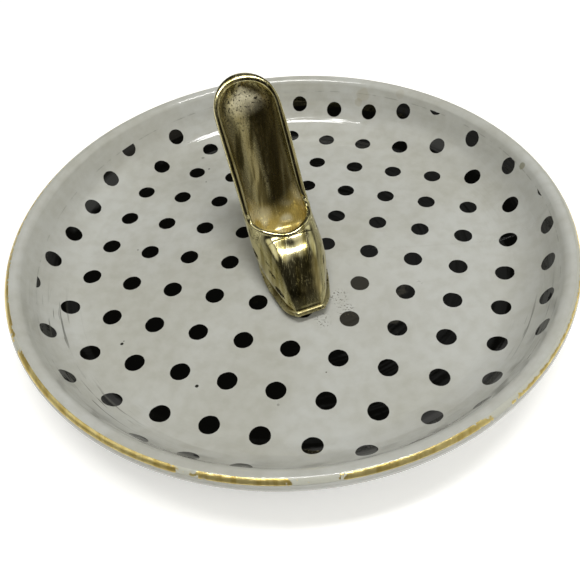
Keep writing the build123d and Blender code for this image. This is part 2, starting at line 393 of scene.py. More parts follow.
def place_in_section(rows, values, knots, turns, across, up):
    """Points of each leaning section, on a smooth curve through its own points at the knots.

    Across is from the shoe's middle line, and up tips toward the toe by the lean.
    """
    weights = smooth_curve(knots, np.eye(len(knots)), turns)
    across, up = (np.einsum("svk,sk->sv", weights, part) for part in (across, up))
    height, lean, shift = (part[:, None] for part in values[:3])
    return np.stack([
        rows[:, :1] * shoe_length - up * np.sin(lean),
        shift + across,
        height + up * np.cos(lean),
    ], axis=2)


def on_dish(points):
    """From the shoe's own frame, toe to heel along X, to the dish's frame."""
    turn_angle = math.radians(90 + shoe_turn)
    cosine, sine = math.cos(turn_angle), math.sin(turn_angle)
    spin = np.array([[cosine, -sine, 0], [sine, cosine, 0], [0, 0, 1]])
    return points @ spin.T + shoe_toe


print("last", len(stations), "stations")

# %% [markdown]
# The upper is a thin shell, open above from the throat back to the heel. Outside and inside are
# each a surface in two parameters: the place along the last, and the way round the section from
# the sole up to the opening's edge. The edge is where the surface crosses the topline, which is
# drawn in side view. A rounded strip joins the two, as the thick slip rounds a cast rim.

# %% Upper of the shoe
upper_wall = 1.15
insole_thickness = 1.0
rim_round = 0.55
hollow_rise = 3.0
bowl_end = 18.5
bowl_slopes = (-0.90, 1.10)
heel_fill = 4.5
lip_dip = 0.34
lip_dip_width = 1.7
throat_middle = 17.9
vamp_square = 0.07
outer_throat_size = (6.5, 6.4)
inner_throat_length = 5.35
# height of the upper's lower edge from the sole's top, into which it sinks
feather_edge = -0.15
# shares of the length: where the square shoulder is full, where it fades and over how much
square_full = 0.15
square_fade = (0.36, 0.18)
# share of the length over which the inner wall comes to stand as the last does
wall_settles = 0.17
# inside, the corner at the bottom: its share of the height and of the foot's width
corner_rise = 0.07
corner_width = 0.78
# and the share of the height at which the inside is widest
widest_rise = 0.36
NO_LIMIT = 1e3
# way round each section of the points that fix it, with 0 at the sole and 1 at the crown
outer_knots = np.array([0, 0.27, 0.57, 1, 1.43, 1.73, 2])
inner_knots = np.array([-0.48, -0.22, 0, 0.22, 0.48, 0.74, 1, 1.26, 1.52])


def smooth_part(value, start, length):
    """How much of a stretch is done, with soft ends: t^2 (3 - 2 t)."""
    t = part_done(value, start, length)
    return t**2 * (3 - 2 * t)


def topline(run):
    """Height of the opening's edge in side view at each place along the shoe."""
    start = throat_share * shoe_length
    points = [(start - throat_roll, throat_height + throat_roll_rise)]
    length, rise = shoe_length - start, collar_height - throat_height
    points += [
        (start + share * length, throat_height + climb * rise) for share, climb in topline_shares
    ]
    points = np.array(points + [(shoe_length + collar_runout, collar_height)])
    height = smooth_curve(points[:, 0], points[:, 1], run)
    return np.where(run < points[0, 0], NO_LIMIT, height)


def outer_section(rows, turns):
    """Outside of the upper: from the sole's edge over the widest place and shoulder to the crown.

    The vamp's shoulder is squarer than the table says. That comes in behind the toe and fades
    from the throat on.
    """
    values = last_values(rows)
    _, _, _, foot, girth, top, shoulder = values
    squeeze, rise = rows[:, 1], rows[:, 2]
    foot, girth, top = foot * squeeze, girth * squeeze, top * rise
    base = np.full(len(rows), feather_edge)
    zero = np.zeros(len(rows))
    side = base + (top - base) / 3
    square = vamp_square * (1 - smooth_part(rows[:, 0], *square_fade))
    square = square * part_done(rows[:, 0], 0, square_full)
    high = base + (shoulder + square) * (top - base)
    across = np.stack([foot, girth, shoulder * girth, zero, -shoulder * girth, -girth, -foot], axis=1)
    up = np.stack([base, side, high, top, high, side, base], axis=1)
    return place_in_section(rows, values, outer_knots, turns, across, up)


def inner_section(rows, turns):
    """Inside of the upper: from the middle of the insole round the trough and up the wall.

    The last column of rows is how far the bottom is filled: it rounds the bowl up to the
    throat's lip and the insole up into the back wall. Near the throat the wall stands steeper.
    """
    values = last_values(rows)
    _, _, _, foot, girth, top, shoulder = values
    foot = (foot - upper_wall) * rows[:, 1]
    girth = (girth - upper_wall) * rows[:, 1]
    settled = smooth_part(rows[:, 0], throat_share, wall_settles)
    top = top - upper_wall + hollow_rise * (1 - settled)
    base = insole_thickness + rows[:, 3]
    zero = np.zeros(len(rows))
    low = base + corner_rise * (top - base)
    side = base + widest_rise * (top - base)
    high = base + shoulder * (top - base)
    half = [corner_width * foot, girth, shoulder * girth]
    across = np.stack([-half[1], -half[0], zero, *half, zero, -half[2], -half[1]], axis=1)
    up = np.stack([side, low, base, low, side, high, top, high, side], axis=1)
    return place_in_section(rows, values, inner_knots, turns, across, up)


def throat_half(run, size):
    """Half width of the throat in plan: half an ellipse, and no limit behind its middle."""
    forward = part_done(throat_middle - run, 0, size[0])
    return np.where(forward > 0, size[1] * np.sqrt(1 - forward**2), NO_LIMIT)


def way_to_edge(section, rows, over_edge):
    """For each row, how far round the section the surface comes over the opening's edge."""
    turns = np.tile(np.linspace(0, 1, 400), (len(rows), 1))
    points = section(rows, turns)
    aside = np.abs(points[..., 1] - last_values(rows)[2][:, None])
    over = over_edge(points[..., 0], aside, points[..., 2])
    over[:, 0] = -1
    crossed = over > 0
    first = np.argmax(crossed, axis=1)
    pick = np.arange(len(rows))
    before = np.maximum(first - 1, 0)
    share = -over[pick, before] / (over[pick, first] - over[pick, before] + 1e-12)
    edge = turns[pick, before] + share * (turns[pick, first] - turns[pick, before])
    return np.where(crossed.any(axis=1), edge, 1.0)


def over_outer_edge(run, across, height):
    """Positive where the outside is both over the topline and within the throat's plan."""
    over_topline = height - topline(run) + rim_round
    return np.minimum(over_topline, throat_half(run, outer_throat_size) - across)


def over_inner_edge(run, across, height):
    """Positive over the height that the outer edge has at the matching place."""
    ahead = np.clip(throat_middle - run, 0, None)
    match = run - ahead * (outer_throat_size[0] / inner_throat_length - 1)
    return height - np.interp(match, outer_edge[:, 0], outer_edge[:, 2])


def rows_between(start, end, count, power=1.0):
    """Rows with no squeeze, from one share of the length to another."""
    share = start + (end - start) * np.linspace(0, 1, count) ** power
    return np.stack([share, np.ones(count), np.ones(count), np.zeros(count)], axis=1)


def heel_rows(start, end, count, fill=0.0):
    """Rows that round the heel off: widths fall as the cosine while the place goes as the sine."""
    angle = np.linspace(0, math.pi / 2, count)[1:]
    share = start + (end - start) * np.sin(angle)
    return np.stack([share, np.cos(angle), np.ones(count - 1), fill * (1 - np.cos(angle))], axis=1)


def toe_rows(start, end, count):
    """Rows that round the toe off in height from nothing, and in width from 93%."""
    angle = np.linspace(0, math.pi / 2, count)[:-1]
    share = start + (end - start) * (1 - np.cos(angle))
    return np.stack([share, 0.93 + 0.07 * np.sin(angle), np.sin(angle), np.zeros(count - 1)], axis=1)


across_steps = np.linspace(0, 1, 44)


def half_shell(section, rows, edge):
    """One half of a shell, from the bottom of each section to the opening's edge."""
    return section(rows, edge[:, None] * across_steps)


def other_side(points, rows):
    """The same half on the shoe's other side, mirrored about each row's own middle."""
    flipped = points.copy()
    middle = last_values(rows)[2][:, None]
    flipped[..., 1] = 2 * middle - flipped[..., 1]
    return flipped


OPEN_ROWS, HEEL_ROWS = 130, 40
CLOSER_AT_THROAT = 1.9
toe_tip = 0.016
crown_rows = rows_between(0.2, 0.6, 4000)
crown = outer_section(crown_rows, np.ones((len(crown_rows), 1)))[:, 0]
outer_throat = crown_rows[np.argmax(over_outer_edge(crown[:, 0], 0, crown[:, 2]) > 0), 0]
outer_rows = np.concatenate([
    toe_rows(toe_tip, stations[0, 0], 10),
    rows_between(stations[0, 0], outer_throat, 70)[:-1],
    rows_between(outer_throat, heel_share, OPEN_ROWS, CLOSER_AT_THROAT),
    heel_rows(heel_share, back_share, HEEL_ROWS),
])
rim_count = OPEN_ROWS + HEEL_ROWS - 1
outer_way = way_to_edge(outer_section, outer_rows, over_outer_edge)
outer_way[:1 - rim_count] = 1.0
outer_half = half_shell(outer_section, outer_rows, outer_way)
outer_half[0] = outer_half[0, -1]

# the vamp dips a little just ahead of the throat's lip
ahead = np.clip(throat_middle - outer_half[..., 0], 0, None)
aside = outer_half[..., 1] - last_values(outer_rows)[2][:, None]
beyond = np.hypot(ahead, aside) - outer_throat_size[0]
dip = np.where(ahead > 0, lip_dip * np.exp(-(beyond / lip_dip_width) ** 2), 0)
outer_half[..., 2] -= dip * across_steps**2
outer_edge = outer_half[-rim_count:, -1]

# the inside starts as a point at the lip, whose place along the last is found step by step
lip_along, lip_height = throat_middle - inner_throat_length, outer_edge[0, 2]
lip_share = lip_along / shoe_length
for _ in range(20):
    level, tip = (part[0] for part in last_values(rows_between(lip_share, 1, 1))[:2])
    lip_up = (lip_height - level) / math.cos(tip)
    lip_share = (lip_along + lip_up * math.sin(tip)) / shoe_length
highest_fill = 12.0
inner_back = back_share - upper_wall / shoe_length
inner_rows = np.concatenate([
    rows_between(lip_share, heel_share, OPEN_ROWS, CLOSER_AT_THROAT),
    heel_rows(heel_share, inner_back, HEEL_ROWS, heel_fill),
])
level, tip = (part[:, None] for part in last_values(inner_rows)[:2])
climbing = np.linspace(0, highest_fill, 1200)
run = inner_rows[:, :1] * shoe_length - climbing * np.sin(tip)
insole_run = (inner_rows[:, :1] * shoe_length - insole_thickness * np.sin(tip))[:, 0]
insole_rise = (level + insole_thickness * np.cos(tip))[:, 0]
end_rise = np.interp(bowl_end, insole_run[:OPEN_ROWS], insole_rise[:OPEN_ROWS])

# the bowl's bottom is a cubic between two heights, with a slope given at each end
bowl_length = bowl_end - lip_along
b = part_done(run, lip_along, bowl_length)
bowl_rise = (2 * b**3 - 3 * b**2 + 1) * lip_height + (3 * b**2 - 2 * b**3) * end_rise
slopes = (b**3 - 2 * b**2 + b) * bowl_slopes[0] + (b**3 - b**2) * bowl_slopes[1]
bowl_rise += slopes * bowl_length
over_bowl = level + climbing * np.cos(tip) >= bowl_rise
filled = climbing[np.argmax(over_bowl, axis=1)] - insole_thickness
in_bowl = insole_run < bowl_end
inner_rows[in_bowl, 3] = np.clip(filled[in_bowl], 0, lip_up - insole_thickness)
inner_way = way_to_edge(inner_section, inner_rows, over_inner_edge)
inner_half = half_shell(inner_section, inner_rows, inner_way)

# ahead of its middle the throat is as wide inside as half an ellipse
shift = last_values(inner_rows)[2][:, None]
edge_run = inner_half[:, -1:, 0]
reached = np.abs(inner_half[:, -1:, 1] - shift)
full_half = np.interp(throat_middle, edge_run[:OPEN_ROWS, 0], reached[:OPEN_ROWS, 0])
wanted = throat_half(edge_run, (inner_throat_length, full_half))
scale = np.where(edge_run < throat_middle, wanted / np.maximum(reached, 1e-6), 1.0)
inner_half[..., 1] = shift + (inner_half[..., 1] - shift) * scale


def rim_strip(outer_side, inner_side):
    """Rounded strip over the rim: half a turn from the outer edge to the inner one.

    Its bulge stands square to the rim's run and to its width. At the throat's and the heel's
    middle it has no sideways part, so the strips of both sides meet there.
    """
    outer_rim, inner_rim = outer_side[-rim_count:, -1], inner_side[:, -1]
    ridge = np.gradient((outer_rim + inner_rim) / 2, axis=0)
    bulge = np.cross(ridge, inner_rim - outer_rim)
    bulge *= np.sign(bulge[:, 2:])
    bulge[[0, -1], 1] = 0
    bulge /= np.linalg.norm(bulge, axis=1, keepdims=True)
    half_turn = np.linspace(0, math.pi, 13)[None, :, None]
    middle, reach = (outer_rim + inner_rim)[:, None] / 2, (outer_rim - inner_rim)[:, None] / 2
    return middle + reach * np.cos(half_turn) + rim_round * bulge[:, None] * np.sin(half_turn)


outer_other = other_side(outer_half, outer_rows)
inner_other = other_side(inner_half, inner_rows)
rim_rows = outer_rows[-rim_count:]
across_bottom = np.linspace(0, 1, 9)[None, :, None]
bottom = outer_half[:, :1] * (1 - across_bottom) + outer_other[:, :1] * across_bottom
# each part of the shell: its rows, its points, in the trough or not, on the viewer's right or not
shell = [
    (outer_rows, outer_half, 0, 0),
    (outer_rows, outer_other, 0, 1),
    (inner_rows, inner_half, 1, 0),
    (inner_rows, inner_other, 1, 1),
    (rim_rows, rim_strip(outer_half, inner_half), 0, 0),
    (rim_rows, rim_strip(outer_other, inner_other), 0, 1),
    (outer_rows, bottom, 0, 0),
]
# where the painted bowl reflection and the painted shade at the bowl's front end along the shoe,
# and over how much, in mm
bowl_reflection_end, bowl_reflection_fade = 21.5, 2.5
front_end, front_fade = 17.0, 1.5
# the outside is pitted less than the trough
outside_pits = 0.45


def upper_wear_and_painted_light(rows, grid, in_trough, viewers_right):
    """Two sets of three: painted shade, pits, painted bowl reflection; dulled gold, painted cup
    highlight, painted shade at the bowl's front.

    The trough is dulled all over and painted darker as shade on the viewer's right. The heel cup
    and the back of the rim are pitted from rings being put on, and the heel cup also gets a painted
    highlight. The bowl gets a painted reflection, and its front painted shade.
    """
    share = np.broadcast_to(rows[:, :1], grid.shape[:2])
    turn = np.broadcast_to(np.linspace(0, 1, grid.shape[1]), grid.shape[:2])
    along_shoe = grid[..., 0]
    below_rim = part_done(turn, 0.98, -0.2)
    # painted shade: the trough's side on the viewer's right is darkened
    dark = part_done(turn, 0.03, 0.12) * below_rim * viewers_right * part_done(share, 0.47, 0.08)
    pitted = part_done(share, 0.72, 0.2) * (1.0 if in_trough else outside_pits)
    # painted reflection: the bowl up to here is painted ochre
    painted_bowl_reflection = part_done(along_shoe, bowl_reflection_end, -bowl_reflection_fade)
    worn = np.stack([dark * in_trough, pitted, painted_bowl_reflection * in_trough], axis=2)
    # painted highlight: the lower heel cup is painted pale
    painted_cup_highlight = part_done(share, 0.90, 0.05) * part_done(turn, 0.75, -0.35)
    # painted shade: the bowl's front is painted darker
    painted_shade_front = part_done(along_shoe, front_end, -front_fade)
    dulled = np.stack([below_rim, painted_cup_highlight, painted_shade_front], axis=2) * in_trough
    return np.stack([worn, dulled], axis=0).reshape(2, -1, 3)


pits_and_painted_light_places, dulled_and_painted_light_places = np.concatenate([upper_wear_and_painted_light(*part) for part in shell], axis=1)
upper_grids = [(on_dish(grid), False) for _, grid, _, _ in shell]
upper_piece = make_piece("shoe_body", upper_grids, "shoe_upper", {
    "pits_and_painted_light": pits_and_painted_light_places,
    "dulled_and_painted_light": dulled_and_painted_light_places,
})
print("throat at", round(outer_throat * shoe_length, 2), "and", round(lip_along, 2), "mm")

# %% [markdown]
# The sole is a thin plate that follows the last's underside. Its edge stands out round the toe as
# a welt. Each row is a stadium: two flat faces joined by half round edges. Rows close round the
# toe and the heel the same way.

# %% Sole of the shoe
nose_half_width = 2.65
welt_width = 0.9
waist_welt_width = 0.3
# share of the length where the welt starts to narrow, and over how much it does
welt_fade = (0.3, 0.2)
FLAT_POINTS = 24
SOLE_ROWS = 120


def stadium(half_width, thickness, count):
    """A loop round each row: across and down, with half round edges of half the thickness."""
    edge = np.linspace(-math.pi / 2, math.pi / 2, count)
    round_off = thickness / 2
    reach = np.clip(half_width - round_off, 0, None)
    right = reach[:, None] + round_off[:, None] * np.cos(edge)
    right_up = round_off[:, None] * np.sin(edge)
    flat = np.linspace(1, -1, FLAT_POINTS)[1:-1]
    across = [right, reach[:, None] * flat, -right[:, ::-1], -reach[:, None] * flat]
    level = np.repeat(round_off[:, None], len(flat), axis=1)
    up = [right_up, level, right_up[:, ::-1], -level]
    return np.concatenate(across, axis=1), np.concatenate(up, axis=1)


def sole_half_width(share):
    """Half width of the sole: flat nose, the last's foot line plus the welt, rounded heel."""
    along_foot = stations[1:HEEL_STATION + 1]
    knots = np.concatenate([[0], along_foot[:, 0]])
    welt = welt_width + (waist_welt_width - welt_width) * part_done(knots, *welt_fade)
    halves = np.concatenate([[nose_half_width], along_foot[:, 4] * ball_half_width + welt[1:]])
    return smooth_curve(knots, halves, np.clip(share, 0, heel_share))


front = np.linspace(0, math.pi / 2, 10)
back = np.linspace(0, math.pi / 2, 30)[1:]
front_share = sole_thickness / 2 / shoe_length
sole_share = np.concatenate([
    front_share * (1 - np.cos(front)),
    np.linspace(front_share, heel_share, SOLE_ROWS)[1:],
    heel_share + (1 - heel_share) * np.sin(back),
])
squeeze = np.concatenate([np.ones(len(front) + SOLE_ROWS - 1), np.cos(back)])
round_back = np.sqrt(np.clip(1 - np.sin(back) ** 16, 0, 1))
thin = np.concatenate([np.sin(front), np.ones(SOLE_ROWS - 1), round_back])
width = sole_half_width(sole_share) * squeeze
thickness = sole_thickness * thin
across, up = stadium(width, np.minimum(thickness, 2 * width + 1e-9), 9)
on_last = np.clip(sole_share, stations[0, 0], back_share)
columns = smooth_curve(stations[:, 0], stations[:, 1:4], on_last)
climb = np.clip(columns[:, 0], 0, 1)
rise = lift(sole_share, climb)
run = sole_share * shoe_length
# a nudge keeps the places of the last rows apart
nudged = run + 1e-6 * np.arange(len(run))
tangent = np.gradient(np.stack([run, rise], axis=1), nudged, axis=0)
tangent /= np.linalg.norm(tangent, axis=1, keepdims=True)
down = up - sole_thickness / 2
sole_points = np.stack([
    run[:, None] - tangent[:, 1:] * down,
    columns[:, 2:] + across,
    rise[:, None] + tangent[:, :1] * down,
], axis=2)
sole_piece = make_piece("shoe_welt_sole", [(on_dish(sole_points), True)], "shoe_sole")

# %% [markdown]
# The heel is a stiletto: ovals that narrow from the seat to a slim waist and open a little at the
# tip. A smooth curve runs through the four ovals, and the top follows the sole above it.

# %% Heel of the shoe
HEEL_POINTS = 96
HEEL_HEIGHTS = 70
heel_back = shoe_length - waist_welt_width
tip_along = shoe_length - 3.3
seat_along = heel_back - 3.8
tip_height = 0.3
tip_round = 0.35
tip_flat = 0.80
shaft_from = 0.7
heel_top = seat_height + 1.2
heel_into_sole = 0.245
heel_table = np.array([
    # height, place along the shoe, length, width
    (tip_height, tip_along, 3.8, 3.6),
    (0.45 * seat_height, tip_along, 3.3, 3.0),
    (0.78 * seat_height, seat_along, 5.5, 5.4),
    (heel_top, seat_along, 7.6, 8.0),
])
heel_turns = np.linspace(0, 2 * math.pi, HEEL_POINTS, endpoint=False)
heel_height = np.concatenate([
    [tip_height, tip_height],
    tip_height + tip_round * (1 - np.cos(front[1:])),
    np.linspace(shaft_from, heel_top, HEEL_HEIGHTS),
    [heel_top],
])
tip_shrink = np.concatenate([
    [0, tip_flat],
    tip_flat + (1 - tip_flat) * np.sin(front[1:]),
    np.ones(HEEL_HEIGHTS),
    [0],
])[:, None]
ovals = smooth_curve(heel_table[:, 0], heel_table[:, 1:], heel_height)
heel_x = ovals[:, :1] + ovals[:, 1:2] / 2 * tip_shrink * np.cos(heel_turns)
heel_y = ovals[:, 2:] / 2 * tip_shrink * np.sin(heel_turns)
under_sole = np.interp(heel_x, run, rise - sole_thickness)
heel_z = np.minimum(heel_height[:, None], under_sole + heel_into_sole)
heel_points = np.stack([heel_x, heel_y, heel_z], axis=2)
heel_piece = make_piece("shoe_stiletto", [(on_dish(heel_points), True)], "shoe_heel")

# %% [markdown]
# A finish is a small graph of nodes. One helper adds a node with its settings and its links, and
# one turns the hex colours that a designer writes down into the linear values that light needs.
# Two settings come back again and again: a mix of colours, and a smooth step, which is 0 at a first
# value and 1 at a second. A pattern gets its scale from how many of its swells fit in a length that
# could be measured on the real dish, in millimetres.

# %% Helpers for finishes
MIX = {"data_type": "RGBA"}
STEP = {"interpolation_type": "SMOOTHSTEP"}


def colour(code):
    """sRGB hex to linear: v / 12.92 below 0.04045, else ((v + 0.055) / 1.055) ^ 2.4."""
    parts = np.array([int(code[i:i + 2], 16) for i in (1, 3, 5)]) / 255
    linear = np.where(parts <= 0.04045, parts / 12.92, ((parts + 0.055) / 1.055) ** 2.4)
    return (*linear.tolist(), 1.0)


def swells(count, length):
    """Scale of a noise with a count of swells in a length in millimetres: count over metres."""
    return count / (length * MM)


def plug(tree, node, links):
    """Give inputs, by name or number, a value, a socket, or a node, whose first output is taken."""
    for key, value in links.items():
        if isinstance(value, bpy.types.Node):
            value = next(output for output in value.outputs if output.enabled)
        if isinstance(value, bpy.types.NodeSocket):
            tree.links.new(value, node.inputs[key])
        else:
            node.inputs[key].default_value = value


def add(tree, kind, settings=None, *values, **links):
    """One node of a kind. Settings are its properties, or a word for its operation.

    Values go to the inputs that are in use, in their order, and links go to inputs by name.
    """
    node = tree.nodes.new("ShaderNode" + kind)
    if isinstance(settings, str):
        settings = {"operation": settings}
    for key, setting in (settings or {}).items():
        setattr(node, key, setting)
    in_use = [number for number, socket in enumerate(node.inputs) if socket.enabled]
    plug(tree, node, {**dict(zip(in_use, values)), **links})
    return node


def finish_for(name, piece):
    """A new material on a piece, with its tree, its surface shader and the place in the object."""
    material = bpy.data.materials.new(name)
    material.use_nodes = True
    tree = material.node_tree
    tree.nodes.clear()
    shader = add(tree, "BsdfPrincipled")
    add(tree, "OutputMaterial", None, shader)
    piece.data.materials.clear()
    piece.data.materials.append(material)
    return tree, shader, add(tree, "TexCoord").outputs["Object"]


print("the dots' black is", np.round(colour("#060605")[:3], 4), "in linear light")

# %% [markdown]
# White earthenware under a clear gloss glaze. The glaze pools a little, so its white drifts between
# a warm and a cool grey, and painted light makes it a little brighter toward the back, behind the
# shoe.
# The transfer's black dots are fired into the same gloss. Their edge is a little ragged, and they
# stop where the sheet was cut.

# %% White glaze with the printed dots
tree, shader, coords = finish_for("white_glaze_dotted", dish_piece)
pooling = add(tree, "TexNoise", None, coords, swells(9, 200), 3.0)
mottle = add(tree, "TexNoise", None, coords, swells(21, 50), 4.0)
warm_share = add(tree, "MapRange", STEP, pooling, 0.35, 0.68)
glaze = add(tree, "Mix", MIX, warm_share, colour("#BFBFB6"), colour("#C8C9C3"))
mottle_share = add(tree, "MapRange", STEP, mottle, 0.30, 0.75)
glaze = add(tree, "Mix", {**MIX, "blend_type": "MULTIPLY"}, mottle_share, glaze, colour("#F4F3F0"))
# painted light: the glaze's colour grows brighter toward the back of the dish
behind = add(tree, "SeparateXYZ", None, coords).outputs["Y"]
painted_light_to_back = add(tree, "Math", "MULTIPLY_ADD", behind, 0.7, 0.975)
glaze_and_painted_light = add(tree, "VectorMath", "SCALE", glaze, painted_light_to_back)

place = add(tree, "Attribute", {"attribute_name": "print_place"}).outputs["Vector"]
*steps_along, inside_cut = add(tree, "SeparateXYZ", None, place).outputs
offsets = []
for step_along, spacing in zip(steps_along, dot_spacing):
    moved = add(tree, "Math", "ADD", step_along, 0.5)
    centred = add(tree, "Math", "SUBTRACT", add(tree, "Math", "FRACT", moved), 0.5)
    offsets.append(add(tree, "Math", "MULTIPLY", centred, spacing))
distance = add(tree, "VectorMath", "LENGTH", add(tree, "CombineXYZ", None, *offsets))
ragged = add(tree, "TexNoise", None, coords, swells(9, 10), 2.0)
ragged = add(tree, "Math", "MULTIPLY_ADD", ragged, 0.16, distance)
dot = add(tree, "MapRange", STEP, ragged, dot_radius + 0.12, dot_radius + 0.04)
dot = add(tree, "Math", "MULTIPLY", dot, add(tree, "MapRange", STEP, inside_cut, 0.0, 0.08))
printed = add(tree, "Mix", MIX, dot, glaze_and_painted_light, colour("#060605"))
print("dots", dot_radius * 2, "mm across,", dot_spacing, "mm apart")

# %% [markdown]
# Where the flat film was pressed into the round wall it creased, and its cut edge shows as a faint
# line. Iron specks and old dust sit in the glaze, beside the toe above all. Each mark has its place
# on the flat film.

# %% Creases, specks and dust
crease = add(tree, "Attribute", {"attribute_name": "crease_place"}).outputs["Vector"]
crease_share = add(tree, "SeparateXYZ", None, crease).outputs["Z"]
folds = add(tree, "TexNoise", {"noise_dimensions": "2D"}, crease, 1.0, 2.0)
fold = add(tree, "Math", "MULTIPLY", add(tree, "MapRange", STEP, folds, 0.63, 0.68), crease_share)
film_line = add(tree, "Math", "MULTIPLY", add(tree, "MapRange", STEP, inside_cut, -0.05, 0.05),
                add(tree, "MapRange", STEP, inside_cut, 0.22, 0.10))
film_line = add(tree, "Math", "MULTIPLY", film_line, add(tree, "MapRange", STEP, mottle, 0.45, 0.62))
film_line = add(tree, "Math", "MULTIPLY_ADD", film_line, 0.45, fold)
film_line = add(tree, "Math", "MULTIPLY", film_line, 0.75)
surface = add(tree, "Mix", MIX, film_line, printed, colour("#4A4A42"))
marks = [
    # place on the flat print in mm, radius, strength, colour, speckled or not
    ((-32.5, -18.7), 0.34, 0.95, "#15150F", False),
    ((-32.2, -18.1), 0.14, 0.80, "#15150F", False),
    ((-18.2, -29.5), 0.32, 0.95, "#15150F", False),
    ((-4.2, -34.7), 0.30, 0.35, "#3A3A32", False),
    ((4.5, -29.0), 0.17, 0.80, "#3A3014", False),
    ((-31.8, 6.0), 0.20, 0.75, "#2A2A22", False),
    ((-18.9, 36.0), 0.45, 0.45, "#4A4A40", False),
    ((-17.3, 31.5), 0.26, 0.70, "#2A2A22", False),
    ((-17.9, 26.7), 0.20, 0.60, "#3A3A30", False),
    ((24.4, -9.9), 1.10, 0.35, "#6E6A5C", True),
    ((8.6, -12.4), 2.60, 0.85, "#4A4230", True),
    ((9.4, -15.6), 2.20, 0.70, "#4A4230", True),
    ((4.8, -17.6), 2.30, 0.90, "#3A3220", True),
    ((12.5, -14.0), 9.0, 0.10, "#948E7E", False),
    ((53.1, 13.4), 0.90, 0.55, "#6E6A3A", False),
    ((22.1, 48.7), 1.90, 0.20, "#9A8A5A", False),
    ((20.6, 47.4), 1.10, 0.22, "#9A8A5A", False),
    ((31.5, 45.6), 1.30, 0.14, "#9A8A5A", False),
]
sheet = add(tree, "Attribute", {"attribute_name": "sheet_place"}).outputs["Vector"]
dust = add(tree, "TexNoise", None, coords, swells(12, 5), 2.0)
dust = add(tree, "MapRange", STEP, dust, 0.56, 0.64)
for spot, radius, strength, tint, speckled in marks:
    gap = add(tree, "VectorMath", "DISTANCE", sheet, (*spot, 0.0))
    gap = add(tree, "Math", "DIVIDE", gap, radius)
    gap = add(tree, "Math", "MULTIPLY_ADD", mottle, 1.2, gap)
    inside = add(tree, "MapRange", STEP, gap, 1.6, 0.9 if speckled else 1.35)
    mark = add(tree, "Math", "MULTIPLY", strength, inside)
    if speckled:
        mark = add(tree, "Math", "MULTIPLY", mark, dust)
    surface = add(tree, "Mix", MIX, mark, surface, colour(tint))
print(len(marks), "marks")

# %% [markdown]
# A fired gloss is never quite flat. It is faintly wavy, and the turning left fine rings in the body
# below it, about 1 mm apart. Both break up the highlights.

# %% Gloss of the glaze
waves = add(tree, "TexNoise", None, coords, swells(13, 50), 4.0)
wavy = add(tree, "Bump", None, Height=waves, Strength=0.16, Distance=0.4 * MM)
rings = add(tree, "TexNoise", {"noise_dimensions": "2D"}, crease, 0.75, 1.0)
wavy = add(tree, "Bump", None, Height=rings, Strength=0.45, Distance=0.1 * MM, Normal=wavy)
plug(tree, shader, {"Base Color": surface, "Roughness": 0.06, "IOR": 1.5, "Normal": wavy})
print("glaze", len(tree.nodes), "nodes")

# %% [markdown]
# Bright gold is a resin of gold that is brushed over the glaze and fired to a film that reflects
# like a mirror. Brush strokes leave streaks of thicker, browner gold, and wear leaves dark pits.
# On the upper, the trough's gold is browner with dark strokes, partly dull lustre and partly
# painted dark reflection, and its side on the viewer's right is painted darker as shade. The heel
# cup gets a painted highlight in pale gold. The bowl gets a painted reflection in ochre, with
# painted highlights over small beads, and its front is painted darker as shade. Where the cup
# highlight and the bowl reflection are painted, the finish is partly no metal.
# The welt's gold is rougher, so it draws a soft satin line of light round the toe.

# %% Mirror gold on the shoe


